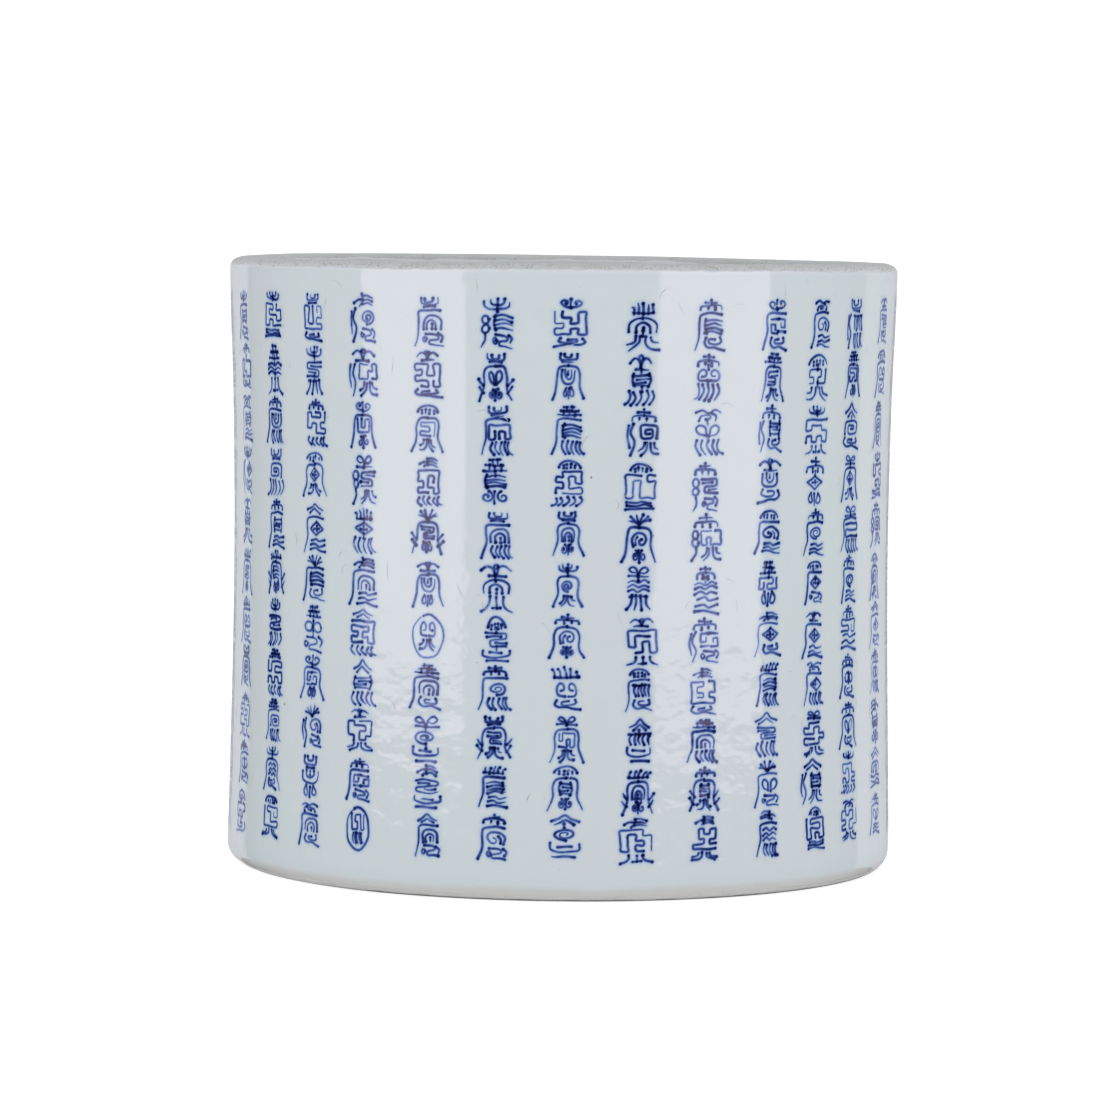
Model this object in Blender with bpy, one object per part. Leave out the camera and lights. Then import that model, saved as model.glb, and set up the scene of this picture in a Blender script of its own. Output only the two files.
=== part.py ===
"""A blue and white porcelain brush pot, as the pieces its potter makes and joins.

A thrown cylinder stands on a base disc and a turned foot ring, a coil of clay seals the inner
corner, cobalt painting runs round the wall in columns, and clear glaze covers everything but the
lip and the foot. Frame: metres, +Z up, origin at the centre of the plane that the foot stands on.
"""

import math

import bmesh
import bpy

MM = 0.001

# ---- driving dimensions, in millimetres ----
RIM_RADIUS = 92.0
HEIGHT = 167.4
LIP_THICKNESS = 8.4
WALL_THICKNESS = 9.2  # at the floor; it thins steadily towards the lip
LIP_OUTER_ROUND = (4.3, 2.5)  # width and height of the lip's outer rounding
LIP_INNER_ROUND = (4.1, 3.0)
LIP_BARE_OUTSIDE = 1.85  # how far below the crest the glaze stops
LIP_BARE_INSIDE = 1.4
FLOOR = 14.5  # height of the glazed floor inside
CORNER_ROUND = 6.0  # radius of the glazed corner between wall and floor
FOOT_RADIUS = 88.4  # outer edge of the flat ring that touches the table
FOOT_INNER_RADIUS = 77.0
FOOT_ROUND_HEIGHT = 5.2  # the foot's outer edge rounds up into the wall over this height
FOOT_RING_HEIGHT = 5.1
FOOT_BARE = 2.1  # height of the bare band above the table
PAINT_BOTTOM = 10.5  # the painted signs reach from here
PAINT_TOP = 158.5
GLAZE = 0.5  # thickness of the glaze
PAINT = 0.2
GAP = 0.3  # left between pieces that touch

# Height and radius of the finished outside, as shares of the height and the rim radius: it is
# narrowest at mid height and flares a little to both ends.
WALL_STATIONS = (
    (0.000, 0.9972),
    (0.060, 0.9965),
    (0.200, 0.9914),
    (0.350, 0.9861),
    (0.500, 0.9832),
    (0.650, 0.9847),
    (0.800, 0.9897),
    (0.900, 0.9968),
    (0.965, 1.0000),
    (1.000, 1.0000),
)

AROUND = 64  # segments round every turned piece
BODY_INSET = GLAZE + PAINT + 2 * GAP  # the painted body lies this deep under the glaze
INNER_INSET = GLAZE + GAP


def spline(x, points):
    """Smooth curve through the points: cubic Hermite, with slopes from each point's neighbours."""
    last = len(points) - 1
    i = 0
    while i < last - 1 and x > points[i + 1][0]:
        i += 1

    def slope(k):
        a = points[max(k - 1, 0)]
        b = points[min(k + 1, last)]
        return (b[1] - a[1]) / (b[0] - a[0])

    (x0, y0), (x1, y1) = points[i], points[i + 1]
    run = x1 - x0
    t = (x - x0) / run
    return (
        (1 + 2 * t) * (1 - t) ** 2 * y0
        + t * (1 - t) ** 2 * run * slope(i)
        + t * t * (3 - 2 * t) * y1
        + t * t * (t - 1) * run * slope(i + 1)
    )


def wall_outside(z):
    """Radius of the finished outside at height z, before the lip and the foot are rounded."""
    return RIM_RADIUS * spline(z / HEIGHT, WALL_STATIONS)


def outside(z):
    """Radius of the finished outside at height z."""
    width, height = LIP_OUTER_ROUND
    if z < FOOT_ROUND_HEIGHT:
        full = wall_outside(FOOT_ROUND_HEIGHT)
        drop = 1 - z / FOOT_ROUND_HEIGHT
        return FOOT_RADIUS + (full - FOOT_RADIUS) * math.sqrt(1 - drop * drop)
    if z > HEIGHT - height:
        rise = (z - HEIGHT + height) / height
        return RIM_RADIUS - width * (1 - math.sqrt(max(1 - rise * rise, 0)))
    return wall_outside(z)


def inside(z):
    """Radius of the finished inside at height z."""
    width, height = LIP_INNER_ROUND
    share = (z - FLOOR) / (HEIGHT - FLOOR)
    thickness = WALL_THICKNESS + (LIP_THICKNESS - WALL_THICKNESS) * share
    radius = wall_outside(z) - thickness
    if z > HEIGHT - height:
        rise = (z - HEIGHT + height) / height
        radius += width * (1 - math.sqrt(max(1 - rise * rise, 0)))
    return radius


def heights(low, high, count):
    """count heights from low to high, both included."""
    return [low + (high - low) * i / (count - 1) for i in range(count)]


def lip_heights(round_height, start, count):
    """count heights from start to the crest, closer together near the crest, for a quarter ellipse."""
    first = math.asin(1 - (HEIGHT - start) / round_height)
    angles = [first + (math.pi / 2 - first) * i / (count - 1) for i in range(count)]
    return [HEIGHT - round_height * (1 - math.sin(a)) for a in angles]


def corner_centre():
    """Centre (r, z) of the rounding between the inside wall and the floor."""
    centre_z = FLOOR + CORNER_ROUND
    return inside(centre_z) - CORNER_ROUND, centre_z


def corner_arc(radius, start=0.0, end=math.pi / 2, count=5):
    """Arc about the corner's centre, from the floor (angle 0) out and up to the wall."""
    centre_r, centre_z = corner_centre()
    angles = [start + (end - start) * i / (count - 1) for i in range(count)]
    return [(centre_r + radius * math.sin(a), centre_z - radius * math.cos(a)) for a in angles]


def plain_material(name, colour, roughness):
    material = bpy.data.materials.new(name)
    material.use_nodes = True
    shader = material.node_tree.nodes["Principled BSDF"]
    shader.inputs["Base Color"].default_value = (*colour, 1.0)
    shader.inputs["Roughness"].default_value = roughness
    shader.inputs["Metallic"].default_value = 0.0
    material.diffuse_color = (*colour, 1.0)
    return material


def finish_object(name, mesh, material, sharp_angle=35):
    mesh.shade_smooth()
    mesh.set_sharp_from_angle(angle=math.radians(sharp_angle))
    mesh.materials.append(material)
    made = bpy.data.objects.new(name, mesh)
    bpy.context.scene.collection.objects.link(made)
    return made


def turned(name, outline, material):
    """Turns a closed outline of (r, z) points, in mm, round the Z axis.

    The outline runs up the outer side and back down the inner side, so that the faces point out.
    Points at r = 0 lie on the axis and become single vertices.
    """
    shape = bmesh.new()
    rings = []
    for r, z in outline:
        if r == 0:
            rings.append([shape.verts.new((0, 0, z * MM))])
            continue
        ring = []
        for i in range(AROUND):
            angle = 2 * math.pi * i / AROUND
            ring.append(shape.verts.new((r * math.cos(angle) * MM, r * math.sin(angle) * MM, z * MM)))
        rings.append(ring)
    for low, high in zip(rings, rings[1:] + rings[:1]):
        if len(low) == 1 and len(high) == 1:
            continue
        for i in range(AROUND):
            j = (i + 1) % AROUND
            corners = [low[i % len(low)], low[j % len(low)], high[j % len(high)], high[i % len(high)]]
            face = list(dict.fromkeys(corners))
            shape.faces.new(face)
    mesh = bpy.data.meshes.new(name)
    shape.to_mesh(mesh)
    shape.free()
    return finish_object(name, mesh, material)


def make_wall(clay):
    """The thrown cylinder. Its surface lies below the glaze, and comes out to full size at the lip."""
    bottom = FOOT_RING_HEIGHT + GAP
    outer_step = HEIGHT - LIP_BARE_OUTSIDE
    inner_step = HEIGHT - LIP_BARE_INSIDE
    outline = [(wall_outside(z) - BODY_INSET, z) for z in heights(bottom, outer_step, 8)]
    outline += [(outside(z), z) for z in lip_heights(LIP_OUTER_ROUND[1], outer_step + 0.05, 6)]
    inner_lip = lip_heights(LIP_INNER_ROUND[1], inner_step + 0.05, 5)[:-1]
    outline += [(inside(z), z) for z in inner_lip[::-1]]
    outline += [(inside(z) + INNER_INSET, z) for z in (inner_step, HEIGHT - 3.0)]
    outline += [(inside(z) + INNER_INSET, z) for z in heights(HEIGHT - 16.0, bottom, 6)]
    return turned("wall", outline, clay)


def make_base_slab(clay):
    """The base disc, luted inside the lower end of the cylinder."""
    bottom = FOOT_RING_HEIGHT + GAP
    top = FLOOR - INNER_INSET
    rim = inside(top) + INNER_INSET - GAP
    return turned("base_slab", [(0, bottom), (rim, bottom), (rim, top), (0, top)], clay)


def make_foot_ring(clay):
    """The turned ring under the wall: flat below, bare, rounded up into the wall outside."""
    bare = [(outside(z), z) for z in (0.0, 0.15, 0.5, 1.0, 1.5, FOOT_BARE)]
    under_glaze = wall_outside(FOOT_RING_HEIGHT) - BODY_INSET
    outline = bare + [(outside(FOOT_BARE) - INNER_INSET, FOOT_BARE + 0.05)]
    outline += [(under_glaze, FOOT_RING_HEIGHT), (FOOT_INNER_RADIUS, FOOT_RING_HEIGHT)]
    outline += [(FOOT_INNER_RADIUS, 0.8), (FOOT_INNER_RADIUS + 0.8, 0.0)]
    return turned("foot_ring", outline, clay)


def make_luting_coil(clay):
    """The coil pressed into the corner between the wall and the base, smoothed to a hollow curve."""
    wall_side = inside(FLOOR) + INNER_INSET - GAP
    floor_side = FLOOR - INNER_INSET + GAP
    centre_r, centre_z = corner_centre()
    hollow = CORNER_ROUND + INNER_INSET
    start = math.acos((centre_z - floor_side) / hollow)
    end = math.asin((wall_side - centre_r) / hollow)
    arc = corner_arc(hollow, start, end)
    return turned("luting_coil", [(wall_side, floor_side)] + arc[::-1], clay)


def make_outer_glaze(glaze):
    """Clear glaze from just above the foot to just below the crest of the lip."""
    low = FOOT_BARE + GAP
    high = HEIGHT - LIP_BARE_OUTSIDE - GAP
    levels = [low, 3.4] + heights(FOOT_ROUND_HEIGHT, HEIGHT - 4.0, 8) + [high]
    outer = [(outside(z), z) for z in levels]
    inner = [(outside(z) - GLAZE, z) for z in levels]
    return turned("outer_glaze", outer + inner[::-1], glaze)


def make_inner_glaze(glaze):
    """Clear glaze over the inside of the wall, round the corner and across the floor."""
    high = HEIGHT - LIP_BARE_INSIDE - GAP
    corner_top = FLOOR + CORNER_ROUND
    levels = heights(corner_top, HEIGHT - 12.0, 6) + [HEIGHT - 3.0, high]
    wall_side = [(inside(z) + GLAZE, z) for z in levels]
    bowl_side = [(inside(z), z) for z in levels]
    outer_arc = corner_arc(CORNER_ROUND + GLAZE)[:-1]
    inner_arc = corner_arc(CORNER_ROUND)[:-1]
    outline = [(0, FLOOR - GLAZE)] + outer_arc + wall_side
    outline += bowl_side[::-1] + inner_arc[::-1] + [(0, FLOOR)]
    return turned("inner_glaze", outline, glaze)


def make_base_glaze(glaze):
    """Clear glaze on the underside, within the foot ring."""
    top = FOOT_RING_HEIGHT
    bottom = top - GLAZE
    rim = FOOT_INNER_RADIUS - GAP
    return turned("base_glaze", [(0, bottom), (rim, bottom), (rim, top), (0, top)], glaze)


def make_cobalt_painting(cobalt):
    """The painted layer: a thin sleeve on the body, under the glaze, over the height of the signs."""
    levels = heights(PAINT_BOTTOM, PAINT_TOP, 7)
    outer = [(outside(z) - GLAZE - GAP, z) for z in levels]
    inner = [(outside(z) - GLAZE - GAP - PAINT, z) for z in levels]
    return turned("cobalt_painting", outer + inner[::-1], cobalt)


def clear_scene():
    for old in list(bpy.data.objects):
        bpy.data.objects.remove(old, do_unlink=True)


def main():
    clear_scene()
    make_wall(plain_material("fired_clay", (0.47, 0.48, 0.46), 0.75))
    make_base_slab(plain_material("base_clay", (0.50, 0.50, 0.48), 0.75))
    make_foot_ring(plain_material("foot_clay", (0.50, 0.50, 0.49), 0.7))
    make_luting_coil(plain_material("coil_clay", (0.50, 0.50, 0.48), 0.75))
    make_outer_glaze(plain_material("outer_clear_glaze", (0.60, 0.65, 0.68), 0.08))
    make_inner_glaze(plain_material("inner_clear_glaze", (0.60, 0.65, 0.67), 0.1))
    make_base_glaze(plain_material("base_clear_glaze", (0.60, 0.65, 0.67), 0.1))
    make_cobalt_painting(plain_material("cobalt_blue", (0.05, 0.09, 0.28), 0.3))


main()
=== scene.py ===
"""The looks of the blue and white porcelain brush pot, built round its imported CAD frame.

Lengths are in millimetres until a mesh is made; MM turns them into Blender's metres. Every turned
surface comes from one outline and one slow wobble, so that clay, glaze and painting fit together.
The painting is invented ornament: each sign stacks a crest, a heart and a foot out of sprays,
frets, scrolls and rings. Its strokes are laid on a fine grid as a density of ink, which is cut out
as a film that lies on the glaze surface and carries that density to the material.
"""

import math
import random

import bpy
import numpy as np
from mathutils import Euler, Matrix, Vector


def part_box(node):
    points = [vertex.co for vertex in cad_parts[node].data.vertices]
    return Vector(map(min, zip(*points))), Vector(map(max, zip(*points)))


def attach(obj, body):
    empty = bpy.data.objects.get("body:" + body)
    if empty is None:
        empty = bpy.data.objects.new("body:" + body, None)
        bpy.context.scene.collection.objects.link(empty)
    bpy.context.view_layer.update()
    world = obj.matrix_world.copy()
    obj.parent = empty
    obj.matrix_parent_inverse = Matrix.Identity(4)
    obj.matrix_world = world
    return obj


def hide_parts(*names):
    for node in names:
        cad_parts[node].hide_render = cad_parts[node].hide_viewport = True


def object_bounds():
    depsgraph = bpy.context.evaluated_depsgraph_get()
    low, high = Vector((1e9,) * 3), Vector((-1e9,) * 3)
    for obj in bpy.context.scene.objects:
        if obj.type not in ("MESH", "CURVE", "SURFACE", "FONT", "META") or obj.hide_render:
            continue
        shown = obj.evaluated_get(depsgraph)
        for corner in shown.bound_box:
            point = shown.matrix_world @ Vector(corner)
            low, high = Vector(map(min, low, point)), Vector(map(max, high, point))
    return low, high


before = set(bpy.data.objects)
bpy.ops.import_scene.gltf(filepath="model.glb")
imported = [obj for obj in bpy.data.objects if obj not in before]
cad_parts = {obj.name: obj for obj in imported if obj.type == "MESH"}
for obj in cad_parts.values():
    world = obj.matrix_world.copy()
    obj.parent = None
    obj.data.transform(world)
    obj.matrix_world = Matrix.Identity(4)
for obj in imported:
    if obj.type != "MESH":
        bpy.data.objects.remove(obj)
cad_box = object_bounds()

MM = 0.001
TAU = 2 * math.pi

# ---- sizes, from the frame where it holds them ----
CAD_GAP = 0.3  # left in the CAD between pieces that touch
CAD_GLAZE = 0.5  # thickness of the CAD's glaze
GLAZE_RUN = 0.95  # the glaze runs this much further down the foot than the CAD's
RIM_RADIUS = float(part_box("outer_glaze")[1][0]) / MM
HEIGHT = float(cad_box[1][2]) / MM
FOOT_INNER_RADIUS = float(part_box("base_glaze")[1][0]) / MM + CAD_GAP
GLAZE_LOW = float(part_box("outer_glaze")[0][2]) / MM - GLAZE_RUN
FLOOR = float(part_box("inner_glaze")[0][2]) / MM + CAD_GLAZE
BASE_CEILING = float(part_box("base_glaze")[0][2]) / MM

# These repeat the CAD model's outline, but the lip's inner rounding is shallower and fuller.
LIP_THICKNESS = 8.4
WALL_THICKNESS = 9.2
LIP_OUTER_ROUND = (4.3, 2.5)  # width and height
LIP_INNER_ROUND = (4.1, 2.4)
LIP_INNER_FULLNESS = 2.6  # 2 would be a plain quarter ellipse
LIP_BARE_OUTSIDE = 1.85  # how far below the crest the glaze stops
LIP_BARE_INSIDE = 1.4
CORNER_ROUND = 6.0
FOOT_RADIUS = 88.4
FOOT_ROUND_HEIGHT = 5.2
WALL_STATIONS = (
    (0.000, 0.9972),
    (0.060, 0.9965),
    (0.200, 0.9914),
    (0.350, 0.9861),
    (0.500, 0.9832),
    (0.650, 0.9847),
    (0.800, 0.9897),
    (0.900, 0.9968),
    (0.965, 1.0000),
    (1.000, 1.0000),
)

GLAZE_DEPTH = 0.45  # how thick the glaze shells are made
GLAZE_PROUD = 0.10  # how far the glaze stands above the bare clay beside it
FILM_LIFT = 0.03  # the painted film lies this far above the glaze
BURIED = GLAZE_DEPTH + 0.1  # how deep the clay lies under the glaze
AROUND = 640  # segments round a glaze surface
AROUND_FOOT = 256
QUARTER = np.linspace(0, math.pi / 2, 6)  # the angles of a glaze coat's rounded end

# ---- the painting ----
SIGNS_PER_COLUMN = 11
FIRST_PITCH = 14.15  # from the top of the first sign to the top of the second
PITCH_LOSS = 0.14  # how much closer each sign follows than the one before
SIGN_WIDTH = 10.0  # of the widest signs
COLUMN_HEIGHT = 149.0
TOP_OF_SIGNS = 157.9
FIRST_COLUMN = -70.5  # degrees from the front towards the right
# Degrees from each column to the next, towards the right, as the painter spaced them by eye.
FRONT_STEPS = (12.5, 11.6, 11.1, 12.7, 11.7, 12.0, 12.0, 11.4, 12.8, 10.7, 10.5, 12.1)
COLUMN_COUNT = 30

STROKE_HALF_WIDTH = 0.28
STROKE_SOFT_EDGE = 0.22
STROKE_TONE = 1.42  # ink density of an ordinary stroke
TAIL_CHANCE = 0.4  # share of strokes that end in a thin tail instead of a round head
BLEED = 0.17  # density beside a stroke, as a share of its own, where the ink has run
BLEED_REACH = 0.42  # distance in which that falls to about a third
INK_CUT = 0.02  # thinner ink than this is left out of the film
BLEED_LIMIT = 1.3  # a stroke's ink reaches no further than this beyond its half width
PAPER_MARGIN = 2.2  # of the ink grid round a column
COLUMN_SEED = 1000
GRID = 0.20  # spacing of the ink grid

# ---- the scratches ----
SCRATCH_COUNT = 260
SCRATCH_STEP = 0.45  # length of one straight piece of a scratch
SCRATCH_TOP = 163.5  # none reaches higher

# ---- the camera ----
CAMERA_DISTANCE = 16.0  # in rim radii, in front of the axis
CAMERA_HEIGHT = 1.996  # in rim radii
CAMERA_ASIDE = -0.00027  # in metres
CAMERA_PITCH = 0.0677  # radians down
CAMERA_ROLL = 0.0107


# ==== Outline ====


def spline(x, points):
    """Smooth curve through the points: cubic Hermite, with slopes from each point's neighbours."""
    xs = np.array([p[0] for p in points])
    ys = np.array([p[1] for p in points])
    slopes = np.gradient(ys, xs)
    slopes[1:-1] = (ys[2:] - ys[:-2]) / (xs[2:] - xs[:-2])
    i = np.clip(np.searchsorted(xs, x) - 1, 0, len(xs) - 2)
    run = xs[i + 1] - xs[i]
    t = (x - xs[i]) / run
    return (
        (1 + 2 * t) * (1 - t) ** 2 * ys[i]
        + t * (1 - t) ** 2 * run * slopes[i]
        + t * t * (3 - 2 * t) * ys[i + 1]
        + t * t * (t - 1) * run * slopes[i + 1]
    )


def wall_outside(z):
    return RIM_RADIUS * spline(np.asarray(z, float) / HEIGHT, WALL_STATIONS)


def outside(z):
    """Radius of the finished outside at height z."""
    z = np.asarray(z, float)
    radius = wall_outside(z)
    full = float(wall_outside(FOOT_ROUND_HEIGHT))
    drop = np.clip(1 - z / FOOT_ROUND_HEIGHT, 0, 1)
    radius = np.where(
        z < FOOT_ROUND_HEIGHT, FOOT_RADIUS + (full - FOOT_RADIUS) * np.sqrt(1 - drop * drop), radius
    )
    width, height = LIP_OUTER_ROUND
    rise = np.clip((z - HEIGHT + height) / height, 0, 1)
    return radius - width * (1 - np.sqrt(1 - rise * rise))


def inside(z):
    """Radius of the finished inside at height z."""
    z = np.asarray(z, float)
    share = (z - FLOOR) / (HEIGHT - FLOOR)
    thickness = WALL_THICKNESS + (LIP_THICKNESS - WALL_THICKNESS) * share
    width, height = LIP_INNER_ROUND
    rise = np.clip((z - HEIGHT + height) / height, 0, 1)
    full = LIP_INNER_FULLNESS
    return wall_outside(z) - thickness + width * (1 - (1 - rise**full) ** (1 / full))


def ease(low, high, x):
    """0 below low, 1 above high, smooth between."""
    t = np.clip((np.asarray(x, float) - low) / (high - low), 0, 1)
    return t * t * (3 - 2 * t)


def round_about(angle, lobes, seed):
    """Smooth noise round the pot, about -1 to 1, made of waves with the given numbers of lobes."""
    draw = random.Random(seed)
    total = np.zeros_like(np.asarray(angle, float))
    weight = 0.0
    for n in lobes:
        share = 1 / math.sqrt(n)
        total = total + share * np.sin(n * angle + draw.uniform(0, TAU))
        weight += share
    return total / weight * 1.6


def thrown_wobble(z, angle):
    """How far the thrown and turned wall strays from a true circle."""
    oval = 0.16 * np.cos(2 * angle + 0.9) + 0.07 * np.cos(3 * angle - z / 45)
    ridges = 0.006 * np.sin(TAU * z / 23 + angle) + 0.0015 * np.sin(TAU * z / 8.7 - angle + 1.3)
    settled = ease(0, 14, z)
    return oval * settled + ridges * settled * (1 - ease(HEIGHT - 8, HEIGHT - 3, z))


def crest_wave(z, angle):
    """The lip's crest rises and falls a little round the pot."""
    tilt = 0.17 * np.cos(angle - math.radians(130)) + 0.19 * np.cos(2 * (angle - math.radians(122)))
    return (tilt + 0.05 * round_about(angle, (5, 9, 14), 3)) * ease(HEIGHT - 10, HEIGHT - 1, z)


def foot_wear(z, angle):
    """How much further in the foot's rounded edge lies than the CAD's.

    It is most on the left and least on the right. Above it, the left side swells out a little.
    """
    to_left = np.maximum(np.cos(angle - math.radians(188)), 0)
    to_right = np.maximum(np.cos(angle + math.radians(20)), 0)
    z = np.asarray(z, float)
    edge = np.clip(1 - z / 6.5, 0, 1) ** 3.2
    swell = np.exp(-(((z - 7) / 5) ** 2)) * to_left**6
    return edge * (0.9 + 1.0 * to_left - 0.3 * to_right) - 0.15 * swell


def place(r, z, angle):
    """Wobbled position, in mm, of the outline point (r, z) at an angle round the pot."""
    r_here = r + thrown_wobble(z, angle) * ease(10, 60, r) - foot_wear(z, angle) * ease(78, 84, r)
    z_here = z + crest_wave(z, angle)
    return np.stack([r_here * np.cos(angle), r_here * np.sin(angle), z_here], axis=-1)


# ==== Meshes ====


def finish_mesh(name, points, faces, material, stands_for, sharp_angle=None):
    """Makes an object of points in mm, hangs it on the root body, gives it its material and hides the CAD
    parts it stands for.
    """
    mesh = bpy.data.meshes.new(name)
    mesh.from_pydata((np.asarray(points) * MM).tolist(), [], faces)
    mesh.validate()
    mesh.update()
    mesh.shade_smooth()
    if sharp_angle is not None:
        mesh.set_sharp_from_angle(angle=math.radians(sharp_angle))
    mesh.materials.append(material)
    made = bpy.data.objects.new(name, mesh)
    bpy.context.scene.collection.objects.link(made)
    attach(made, "root")
    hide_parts(*stands_for)
    return made


def turned(outline, around=AROUND, edge_shift=None):
    """Points and faces of a closed outline turned round Z, up its outer side and down its inner.

    edge_shift(z, angle) gives an extra rise, for edges that wander round the pot.
    """
    points = []
    starts = []
    angle = TAU * np.arange(around) / around
    for r, z in outline:
        starts.append(len(points))
        if r == 0:
            points.append((0.0, 0.0, float(z)))
            continue
        ring = place(np.full(around, float(r)), np.full(around, float(z)), angle)
        if edge_shift is not None:
            ring[:, 2] += edge_shift(z, angle)
        points.extend(ring.tolist())
    faces = []
    sizes = [1 if r == 0 else around for r, _ in outline]
    for k in range(len(outline)):
        n = (k + 1) % len(outline)
        low, high = starts[k], starts[n]
        if sizes[k] == 1 and sizes[n] == 1:
            continue
        for i in range(around):
            j = (i + 1) % around
            if sizes[k] == 1:
                faces.append((low, high + j, high + i))
            elif sizes[n] == 1:
                faces.append((low + i, low + j, high))
            else:
                faces.append((low + i, low + j, high + j, high + i))
    return points, faces


def profile(side, levels, offset=0.0):
    """Outline points at the levels, the offset further out than outside or inside."""
    return [(float(side(z)) + offset, float(z)) for z in levels]


def rounded_end(side, end, up, out, angles):
    """Outline points of the quarter round in which a glaze coat ends, at the height end.

    up is 1 at an upper end and -1 at a lower one; out is 1 on the outside and -1 on the inside.
    """
    points = []
    for a in angles:
        z = end - up * GLAZE_DEPTH * (1 - math.sin(a))
        points.append((float(side(z)) - out * GLAZE_DEPTH * (1 - math.cos(a)), z))
    return points


def bare_crest(side, height, offset, shares):
    """Outline points over one side of the lip, at shares of the rounding's height."""
    points = []
    for share in shares:
        drop = height * (1 - share)
        points.append((float(side(HEIGHT - drop)) + offset, HEIGHT - drop - GLAZE_PROUD * share))
    return points


def corner_arc(radius, count=12):
    """Quarter circle in the corner between the floor and the inside wall, from the floor up."""
    centre_z = FLOOR + CORNER_ROUND
    centre_r = float(inside(centre_z)) - CORNER_ROUND
    angles = np.linspace(0, math.pi / 2, count)
    return [(centre_r + radius * math.sin(a), centre_z - radius * math.cos(a)) for a in angles]


# ==== Materials ====


class Shader:
    """A material being made, with short calls for the nodes used here."""

    def __init__(self, name):
        self.material = bpy.data.materials.new(name)
        self.material.use_nodes = True
        self.tree = self.material.node_tree
        self.surface = self.tree.nodes["Principled BSDF"]
        coords = self.tree.nodes.new("ShaderNodeTexCoord")
        self.coords = coords.outputs["Object"]
        split = self.tree.nodes.new("ShaderNodeSeparateXYZ")
        self.tree.links.new(self.coords, split.inputs[0])
        self.across = split.outputs["X"]
        self.deep = split.outputs["Y"]
        self.height = split.outputs["Z"]

    def give(self, socket, value):
        if isinstance(value, bpy.types.NodeSocket):
            self.tree.links.new(value, socket)
        elif isinstance(value, tuple) and len(value) == 3 and socket.type == "RGBA":
            socket.default_value = (*value, 1.0)
        else:
            socket.default_value = value

    def set(self, name, value):
        self.give(self.surface.inputs[name], value)

    def math(self, operation, a, b=0.0, c=0.0, clamp=False):
        node = self.tree.nodes.new("ShaderNodeMath")
        node.operation = operation
        node.use_clamp = clamp
        for socket, value in zip(node.inputs, (a, b, c)):
            self.give(socket, value)
        return node.outputs[0]

    def radius(self):
        """Distance from the pot's axis."""
        deep_square = self.math("MULTIPLY", self.deep, self.deep)
        return self.math("SQRT", self.math("MULTIPLY_ADD", self.across, self.across, deep_square))

    def between(self, value, low, high, to_low=0.0, to_high=1.0):
        node = self.tree.nodes.new("ShaderNodeMapRange")
        node.interpolation_type = "SMOOTHSTEP"
        self.give(node.inputs["Value"], value)
        node.inputs["From Min"].default_value = low
        node.inputs["From Max"].default_value = high
        node.inputs["To Min"].default_value = to_low
        node.inputs["To Max"].default_value = to_high
        return node.outputs["Result"]

    def mix(self, share, a, b, blend="MIX"):
        node = self.tree.nodes.new("ShaderNodeMix")
        node.data_type = "RGBA"
        node.blend_type = blend
        self.give(node.inputs[0], share)
        self.give(node.inputs[6], a)
        self.give(node.inputs[7], b)
        return node.outputs[2]

    def stretched(self, x, y, z):
        node = self.tree.nodes.new("ShaderNodeMapping")
        self.give(node.inputs["Vector"], self.coords)
        node.inputs["Scale"].default_value = (x, y, z)
        return node.outputs[0]

    def noise(self, size, detail=2.0, coords=None):
        """Noise from 0 to 1 whose features are about size metres across."""
        node = self.tree.nodes.new("ShaderNodeTexNoise")
        self.give(node.inputs["Vector"], coords if coords is not None else self.coords)
        node.inputs["Scale"].default_value = 1 / size
        node.inputs["Detail"].default_value = detail
        node.inputs["Roughness"].default_value = 0.5
        return node.outputs["Fac"]

    def patches(self, size, low, high, to_low=0.0, to_high=1.0, detail=2.0):
        """Noise as soft patches: to_low where it is under low, to_high where it is over high."""
        return self.between(self.noise(size, detail), low, high, to_low, to_high)

    def tint(self, colour, paint, mask, strength):
        """The colour, with the paint over it where the mask is 1, at a strength."""
        return self.mix(self.math("MULTIPLY", mask, strength), colour, paint)

    def spots(self, spacing, radius, share):
        """1 in round spots of a radius, in a share of the cells that are spacing metres wide."""
        node = self.tree.nodes.new("ShaderNodeTexVoronoi")
        self.give(node.inputs["Vector"], self.coords)
        node.inputs["Scale"].default_value = 1 / spacing
        split = self.tree.nodes.new("ShaderNodeSeparateColor")
        self.give(split.inputs[0], node.outputs["Color"])
        chosen = self.math("LESS_THAN", split.outputs[0], share)
        size = self.math("MULTIPLY_ADD", split.outputs[1], radius / spacing, 0.35 * radius / spacing)
        near = self.math("DIVIDE", node.outputs["Distance"], size)
        return self.math("MULTIPLY", self.between(near, 1.0, 0.6), chosen)

    def bump(self, height, depth, after=None):
        """Bump from a height of 0 to 1 that stands for depth metres."""
        node = self.tree.nodes.new("ShaderNodeBump")
        node.inputs["Strength"].default_value = 1.0
        node.inputs["Distance"].default_value = depth
        self.give(node.inputs["Height"], height)
        if after is not None:
            self.give(node.inputs["Normal"], after)
        return node.outputs[0]


def ripple_bump(s):
    """The glaze's orange peel: fine everywhere, coarser in the lower half and beside the lip."""
    fine = s.noise(0.0016, 2.0, s.stretched(1.0, 1.0, 1.3))
    broad = s.noise(0.0074, 2.2, s.stretched(1.0, 1.0, 1.15))
    normal = s.bump(fine, 0.000004)
    beside_lip = s.between(s.height, (HEIGHT - 8.0) * MM, (HEIGHT - 4.5) * MM)
    puckered = s.math("MULTIPLY", s.noise(0.0022, 2.0), beside_lip)
    normal = s.bump(puckered, 0.000022, normal)
    lower = s.between(s.height, 0.115, 0.065, 0.06, 1.0)
    pooled = s.math("MULTIPLY", broad, s.math("MULTIPLY_ADD", beside_lip, 0.3, lower))
    return s.bump(pooled, 0.00020, normal)


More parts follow.
